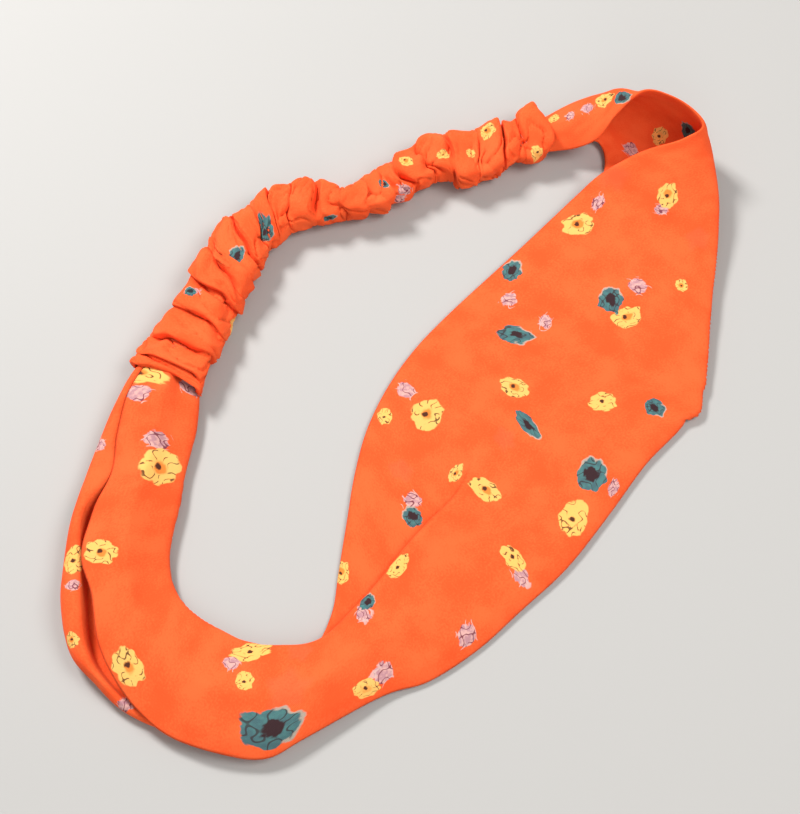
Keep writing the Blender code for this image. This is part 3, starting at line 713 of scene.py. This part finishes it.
# ---- materials --------------------------------------------------------------------------------
class Nodes:
    """Short hand for building a material's node tree."""

    def __init__(self, name):
        self.material = bpy.data.materials.new(name)
        self.material.use_nodes = True
        self.tree = self.material.node_tree
        self.shader = self.tree.nodes["Principled BSDF"]

    def link(self, socket, value):
        if isinstance(value, bpy.types.NodeSocket):
            self.tree.links.new(value, socket)
        else:
            socket.default_value = value

    def fill(self, values):
        """Set or link inputs of the material's shader."""
        for name, value in values.items():
            self.link(self.shader.inputs[name], value)

    def math(self, operation, *values, clamp=False):
        node = self.tree.nodes.new("ShaderNodeMath")
        node.operation = operation
        node.use_clamp = clamp
        for socket, value in zip(node.inputs, values):
            self.link(socket, value)
        return node.outputs[0]

    def distance(self, x, y):
        squares = [self.math("MULTIPLY", value, value) for value in (x, y)]
        return self.math("SQRT", self.math("ADD", *squares))

    def ramp(self, value, low, high):
        """0 below low and 1 above high, smooth between; low may be the larger."""
        node = self.tree.nodes.new("ShaderNodeMapRange")
        node.interpolation_type = "SMOOTHSTEP"
        for name, item in (("Value", value), ("From Min", low), ("From Max", high)):
            self.link(node.inputs[name], item)
        return node.outputs["Result"]

    def mix(self, factor, first, second):
        node = self.tree.nodes.new("ShaderNodeMix")
        node.data_type = "RGBA"
        self.link(node.inputs[0], factor)
        for socket, value in ((node.inputs[6], first), (node.inputs[7], second)):
            self.link(socket, value if isinstance(value, bpy.types.NodeSocket) else (*value, 1.0))
        return node.outputs[2]

    def noise(self, vector, scale, detail=2.0):
        node = self.tree.nodes.new("ShaderNodeTexNoise")
        node.inputs["Scale"].default_value = scale
        node.inputs["Detail"].default_value = detail
        self.link(node.inputs["Vector"], vector)
        return node.outputs[0]

    def attribute(self, name):
        node = self.tree.nodes.new("ShaderNodeAttribute")
        node.attribute_name = name
        return node.outputs["Vector"]

    def parts(self, vector):
        node = self.tree.nodes.new("ShaderNodeSeparateXYZ")
        self.link(node.inputs[0], vector)
        return node.outputs

    def joined(self, x, y, z):
        node = self.tree.nodes.new("ShaderNodeCombineXYZ")
        for socket, value in zip(node.inputs, (x, y, z)):
            self.link(socket, value)
        return node.outputs[0]

    def bump(self, height, strength, distance):
        node = self.tree.nodes.new("ShaderNodeBump")
        node.inputs["Strength"].default_value = strength
        node.inputs["Distance"].default_value = distance
        self.link(node.inputs["Height"], height)
        self.tree.links.new(node.outputs["Normal"], self.shader.inputs["Normal"])


CLOTH_BRIGHT = (0.90, 0.120, 0.030)
CLOTH_DEEP = (0.85, 0.085, 0.018)
YELLOW_INK = (0.98, 0.48, 0.12)
PALE_INK = (0.76, 0.47, 0.13)
DARK_INK = (0.035, 0.02, 0.012)
CENTRE_INK = (0.75, 0.16, 0.015)
TEAL_INK = (0.024, 0.125, 0.14)
TEAL_LIGHT = (0.035, 0.18, 0.18)
TEAL_DEEP = (0.003, 0.014, 0.02)
RIM_INK = (0.47, 0.38, 0.30)
LILAC_INK = (0.38, 0.25, 0.29)
LILAC_LINE = (0.075, 0.04, 0.075)
LILAC_RIM = (0.60, 0.40, 0.37)
GHOST_INK = (0.42, 0.12, 0.06)
THREAD_ORANGE = (0.80, 0.14, 0.035)
THREAD_DEEP = (0.55, 0.08, 0.02)
ELASTIC_WHITE = (0.78, 0.75, 0.70)
# painted shade for the hollows of the knitted elastic
ELASTIC_GROOVE_SHADE = (0.55, 0.52, 0.47)
SHEEN_TINT = (1.0, 0.62, 0.42, 1.0)
WEAVE_PITCH = 0.36          # mm between the threads of the crepe
PLY_PITCH = 0.0005          # m between two twists of the sewing thread
RIB_PITCH = 0.9             # mm across the elastic
STITCH_PITCH = 0.8          # mm along the elastic


def motif_space(n, kind, warp, grain):
    """Place, distance and angle in a motif, with a wavering outline, and its random seed."""
    x, y, seed = n.parts(n.attribute("print_" + kind))
    place = n.joined(x, y, n.math("MULTIPLY", seed, 40.0))
    wobble = n.math("SUBTRACT", n.noise(place, grain, 3.0), 0.5)
    radius = n.math("MULTIPLY_ADD", wobble, warp, n.distance(x, y))
    angle = n.math("ARCTAN2", y, x)
    return x, y, seed, place, radius, angle


def lobes(n, angle, seed, count, depth, size):
    """Outline of a motif with count rounded petals."""
    turned = n.math("MULTIPLY_ADD", angle, count, n.math("MULTIPLY", seed, 6.0))
    return n.math("MULTIPLY_ADD", n.math("COSINE", turned), depth, size)


def curls(n, place, scale, width):
    """Thin curling brush lines, where a smooth noise crosses its middle."""
    level = n.math("ABSOLUTE", n.math("SUBTRACT", n.noise(place, scale, 0.0), 0.5))
    return n.ramp(level, width, width * 0.4)


def oval_spot(n, x, y, side, size, ragged):
    """A small oval beside the middle of a motif."""
    dx = n.math("ADD", x, side)
    dy = n.math("MULTIPLY_ADD", y, 0.7, side * 0.5)
    reach = n.math("MULTIPLY_ADD", ragged, 0.16, n.distance(dx, dy))
    return n.ramp(reach, size + 0.05, size - 0.03)


def yellow_blossom(n, cloth):
    x, y, seed, place, radius, angle = motif_space(n, "yellow", 0.62, 1.5)
    outline = lobes(n, angle, seed, 8.0, 0.035, 0.80)
    body = n.ramp(n.math("SUBTRACT", radius, outline), 0.04, -0.04)
    tone = n.ramp(n.math("MULTIPLY_ADD", seed, 0.35, n.noise(place, 1.3)), 0.45, 0.95)
    ink = n.mix(tone, YELLOW_INK, PALE_INK)
    band = n.math("MULTIPLY", n.ramp(radius, 0.30, 0.42), n.ramp(radius, 0.86, 0.74))
    broken = n.ramp(n.noise(place, 2.9), 0.40, 0.47)
    strokes = n.math("MULTIPLY", curls(n, place, 2.7, 0.050), n.math("MULTIPLY", band, broken))
    ink = n.mix(n.math("MULTIPLY", strokes, 0.9), ink, DARK_INK)
    glow = n.math("MULTIPLY", n.ramp(radius, 0.36, 0.20), n.ramp(seed, 0.35, 0.45))
    ink = n.mix(n.math("MULTIPLY", glow, 0.8), ink, CENTRE_INK)
    ink = n.mix(oval_spot(n, x, y, 0.07, 0.19, n.noise(place, 6.0)), ink, DARK_INK)
    return n.mix(n.math("MULTIPLY", body, 0.95), cloth, ink)


def teal_blossom(n, cloth):
    x, _, seed, place, radius, angle = motif_space(n, "teal", 0.72, 1.7)
    outline = lobes(n, angle, seed, 9.0, 0.03, 0.78)
    inside = n.math("SUBTRACT", radius, outline)
    body = n.ramp(inside, 0.04, -0.04)
    shade = n.noise(place, 3.2, 3.0)
    ink = n.mix(n.ramp(shade, 0.38, 0.66), TEAL_INK, TEAL_LIGHT)
    ink = n.mix(n.math("MULTIPLY", curls(n, place, 2.4, 0.045), 0.75), ink, TEAL_DEEP)
    ink = n.mix(n.ramp(n.math("MULTIPLY_ADD", shade, 0.5, radius), 0.62, 0.50), ink, TEAL_DEEP)
    side = n.ramp(n.math("MULTIPLY_ADD", n.noise(place, 1.2), 1.6, x), 0.75, 1.0)
    rim = n.math("MULTIPLY", n.ramp(inside, -0.13, -0.06), side)
    ink = n.mix(n.math("MULTIPLY", rim, 0.8), ink, RIM_INK)
    return n.mix(n.math("MULTIPLY", body, 0.96), cloth, ink)


def lilac_leaf(n, cloth):
    """A small wash of lilac with loose strokes that reach beyond it."""
    x, y, seed, place, radius, _ = motif_space(n, "lilac", 0.85, 1.9)
    body = n.ramp(radius, 0.84, 0.74)
    wash = n.noise(place, 2.7)
    ink = n.mix(n.ramp(wash, 0.40, 0.62), LILAC_INK, LILAC_RIM)
    ink = n.mix(curls(n, place, 1.5, 0.040), ink, LILAC_LINE)
    washed = n.mix(n.math("MULTIPLY", body, 0.85), cloth, ink)
    reach = n.math("MULTIPLY", n.ramp(radius, 1.15, 0.95), n.ramp(radius, 0.40, 0.60))
    tails = n.math("MULTIPLY", curls(n, n.joined(x, y, n.math("MULTIPLY", seed, 23.0)), 0.8, 0.020),
                   reach)
    return n.mix(n.math("MULTIPLY", tails, 0.85), washed, LILAC_RIM)


def ghost_blossom(n, cloth):
    """The print of the layer beneath, which shows faintly through the thin cloth."""
    _, _, seed, _, radius, angle = motif_space(n, "ghost", 0.7, 1.4)
    outline = lobes(n, angle, seed, 5.0, 0.1, 0.7)
    body = n.ramp(n.math("SUBTRACT", radius, outline), 0.22, -0.22)
    return n.mix(n.math("MULTIPLY", body, 0.22), cloth, GHOST_INK)


def printed_cloth():
    """Matt crepe: twisted threads, a slight mottle and the printed motifs."""
    n = Nodes("printed_crepe")
    cloth_mm = n.attribute("cloth_mm")
    u, v, _ = n.parts(cloth_mm)
    mottle = n.noise(cloth_mm, 0.11, 3.0)
    grain = n.noise(cloth_mm, 1.9, 1.0)
    tone = n.math("MULTIPLY_ADD", grain, 0.45, n.math("MULTIPLY", mottle, 0.75))
    cloth = n.mix(n.ramp(tone, 0.45, 0.75), CLOTH_BRIGHT, CLOTH_DEEP)
    for layer in (ghost_blossom, lilac_leaf, yellow_blossom, teal_blossom):
        cloth = layer(n, cloth)
    threads = 2 * math.pi / WEAVE_PITCH
    warp = n.math("SINE", n.math("MULTIPLY_ADD", u, threads, n.math("MULTIPLY", grain, 5.0)))
    weft = n.math("SINE", n.math("MULTIPLY_ADD", v, threads, n.math("MULTIPLY", mottle, 9.0)))
    crepe = n.math("ADD", n.math("MULTIPLY", warp, weft), n.math("MULTIPLY", grain, 1.6))
    # Partly random grain, partly painted shade: the colour is a little darker where the weave's bump
    # is low, in the dips between threads.
    grain_and_weave_shade = n.math("MULTIPLY_ADD", crepe, 0.03, 0.97)
    shaded = n.tree.nodes.new("ShaderNodeVectorMath")
    shaded.operation = "SCALE"
    n.link(shaded.inputs[0], cloth)
    n.link(shaded.inputs["Scale"], grain_and_weave_shade)
    n.fill({"Base Color": shaded.outputs[0], "Roughness": 0.82, "Specular IOR Level": 0.12,
            "Sheen Weight": 0.04, "Sheen Roughness": 0.45, "Sheen Tint": SHEEN_TINT})
    n.bump(crepe, 0.35, 0.00012)
    return n.material


def spun_thread():
    """Sewing thread: two plies that twist round each other, with loose fibre."""
    n = Nodes("spun_thread")
    geometry = n.tree.nodes.new("ShaderNodeTexCoord").outputs["Object"]
    x, y, z = n.parts(geometry)
    slant = n.math("ADD", n.math("ADD", x, y), n.math("MULTIPLY", z, 1.4))
    twist = n.math("SINE", n.math("MULTIPLY", slant, 2 * math.pi / PLY_PITCH))
    fibre = n.noise(geometry, 4200.0, 3.0)
    # Partly random fibre tone, partly painted shade: the colour is darker in the groove between the
    # two twisted plies.
    tone = n.math("MULTIPLY_ADD", twist, 0.25, fibre)
    colour = n.mix(n.ramp(tone, 0.2, 0.9), THREAD_DEEP, THREAD_ORANGE)
    n.fill({"Base Color": colour, "Roughness": 0.6, "Sheen Weight": 0.3})
    n.bump(tone, 0.5, 0.0001)
    return n.material


def knitted_elastic():
    """Knitted elastic: columns of stitches with rubber ribs between them."""
    n = Nodes("knitted_elastic")
    u, v, _ = n.parts(n.attribute("cloth_mm"))
    rib = n.math("SINE", n.math("MULTIPLY", v, 2 * math.pi / RIB_PITCH))
    sway = n.math("MULTIPLY", rib, 1.2)
    stitch = n.math("SINE", n.math("MULTIPLY_ADD", u, 2 * math.pi / STITCH_PITCH, sway))
    height = n.math("MULTIPLY_ADD", rib, 0.7, n.math("MULTIPLY", stitch, 0.4))
    # Painted shade: the hollows between the ribs and the stitches get a darker colour than their tops.
    colour = n.mix(n.ramp(height, -0.8, 0.5), ELASTIC_GROOVE_SHADE, ELASTIC_WHITE)
    n.fill({"Base Color": colour, "Roughness": 0.75})
    n.bump(height, 0.6, 0.0002)
    return n.material


# ---- elastic and threads inside the casing ----------------------------------------------------
ELASTIC_SIZE = (7.0, 1.0)
ELASTIC_SPAN = (3.7, 143.4)
ELASTIC_LIFT = 4.3
ELASTIC_RISE = 1.6          # how far the ends lie over the tucked-in band
ELASTIC_RINGS = 220
SEAM_LIFT = 2.8
SEAM_RINGS = 900
SEAM_SWAY = (0.35, 4.2)     # how far its thread weaves to each side, and the pitch
SEAM_THREAD = 0.22          # half thickness of that thread
MIDDLE_SHARE = 0.9          # how closely both follow the casing's middle
MOUTH_REACH = 12.0
MOUTH_THREAD = 0.14         # half thickness of the thread at the mouths
MOUTH_STITCHES = 22         # zigzags round a mouth
MOUTH_SWAY = 0.08           # their reach to each side, in ridges
MOUTH_INSET = 0.8           # depth of the thread under the casing's outer side


def elastic_shell():
    """The flat strip: it rises onto the tucked-in band at both ends."""
    half_width, half_thick = ELASTIC_SIZE[0] / 2, ELASTIC_SIZE[1] / 2
    length = np.linspace(*ELASTIC_SPAN, ELASTIC_RINGS)
    angle = np.linspace(0.0, 2 * math.pi, 28, endpoint=False)
    point, side = casing_place(length)
    near_end = np.minimum(length - ELASTIC_SPAN[0], ELASTIC_SPAN[1] - length)
    rise = ELASTIC_RISE * np.clip(1.5 - near_end / MOUTH_REACH, 0.0, 1.0)
    across = casing_middle_offset(length)[:, None] * MIDDLE_SHARE
    across = across + signed_power(np.cos(angle), 0.4) * half_width
    up = ELASTIC_LIFT + rise[:, None] + signed_power(np.sin(angle), 0.6) * half_thick
    plan = point[:, None, :] + side[:, None, :] * across[..., None]
    return np.concatenate([plan, up[..., None]], axis=-1)


def casing_seam_shell():
    """Thread of the casing's seam, which weaves from side to side under the elastic."""
    length = np.linspace(MOUTH_REACH, ELASTIC_SPAN[1] - MOUTH_REACH, SEAM_RINGS)
    sway = SEAM_SWAY[0] * np.sin(2 * math.pi * length / SEAM_SWAY[1])
    point, side = casing_place(length)
    middle = point + side * (casing_middle_offset(length) * MIDDLE_SHARE + sway)[:, None]
    angle = np.linspace(0.0, 2 * math.pi, 10, endpoint=False)
    across = SEAM_THREAD * np.cos(angle)
    up = SEAM_LIFT + SEAM_THREAD * np.sin(angle) + np.zeros((len(length), 1))
    plan = middle[:, None, :] + side[:, None, :] * across[None, :, None]
    return np.concatenate([plan, up[..., None]], axis=-1)


def mouth_thread_shell(phase):
    """Small hidden zigzag that holds a mouth to the tucked-in band, just under the cloth."""
    cloth = casing_surface(MOUTH_INSET)
    turn = np.linspace(0.0, 1.0, 720, endpoint=False)
    row = (phase - 0.5 + MOUTH_SWAY * np.sin(2 * math.pi * MOUTH_STITCHES * turn)) * RIDGE_RINGS
    column = (turn * CASING_ROUND) % CASING_ROUND
    ring, place = row.astype(int), column.astype(int)
    after = (place + 1) % CASING_ROUND
    along, round_ = (row - ring)[:, None], (column - place)[:, None]
    middle = ((1 - along) * (1 - round_) * cloth[ring, place]
              + along * (1 - round_) * cloth[ring + 1, place]
              + (1 - along) * round_ * cloth[ring, after]
              + along * round_ * cloth[ring + 1, after])
    forward = unit(np.roll(middle, -1, axis=0) - np.roll(middle, 1, axis=0))
    side = unit(np.cross(forward, [0.0, 0.0, 1.0]))
    up = np.cross(side, forward)
    angle = np.linspace(0.0, 2 * math.pi, 8, endpoint=False)[None, :, None]
    circle = side[:, None, :] * np.cos(angle) + up[:, None, :] * np.sin(angle)
    return middle[:, None, :] + MOUTH_THREAD * circle


def ride_casing(surface, node):
    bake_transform(surface.object)
    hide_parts(node)


def main():
    camera = make_camera()
    make_studio()
    band = Surface("front_band_cloth", front_band_shell(), False, 2)
    casing = Surface("gathered_casing_cloth", casing_shell(), True, 1)
    elastic = Surface("elastic_webbing", elastic_shell(), False, 1)
    seam = Surface("casing_seam_thread", casing_seam_shell(), False, 1)
    cloth_print = Print([band, casing], camera)
    cloth_print.place_seen()
    cloth_print.place_hidden()
    cloth_print.store()
    cloth = printed_cloth()
    for surface in (band, casing):
        store_weave(surface)
        surface.object.data.materials.append(cloth)
    store_weave(elastic)
    elastic.object.data.materials.append(knitted_elastic())
    thread = spun_thread()
    seam.object.data.materials.append(thread)
    mouths = (("left_mouth_thread", 1.25, "left_arm", "left_join_stitching"),
              ("right_mouth_thread", len(RIDGES) - 2.1, "wide_panel", "right_join_stitching"))
    for name, phase, body, node in mouths:
        mouth = Surface(name, mouth_thread_shell(phase), True, 1).object
        mouth.data.materials.append(thread)
        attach(mouth, body)
        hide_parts(node)
    for node in ("band_seam_stitching", "left_elastic_tack", "right_elastic_tack"):
        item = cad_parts[node]
        item.data.materials.clear()
        item.data.materials.append(thread)
    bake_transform(band.object)
    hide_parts("front_band_wide", "front_band_neck", "front_band_left_end",
                "front_band_right_end")
    ride_casing(casing, "elastic_casing")
    ride_casing(elastic, "elastic_strip")
    ride_casing(seam, "casing_seam_stitching")


main()
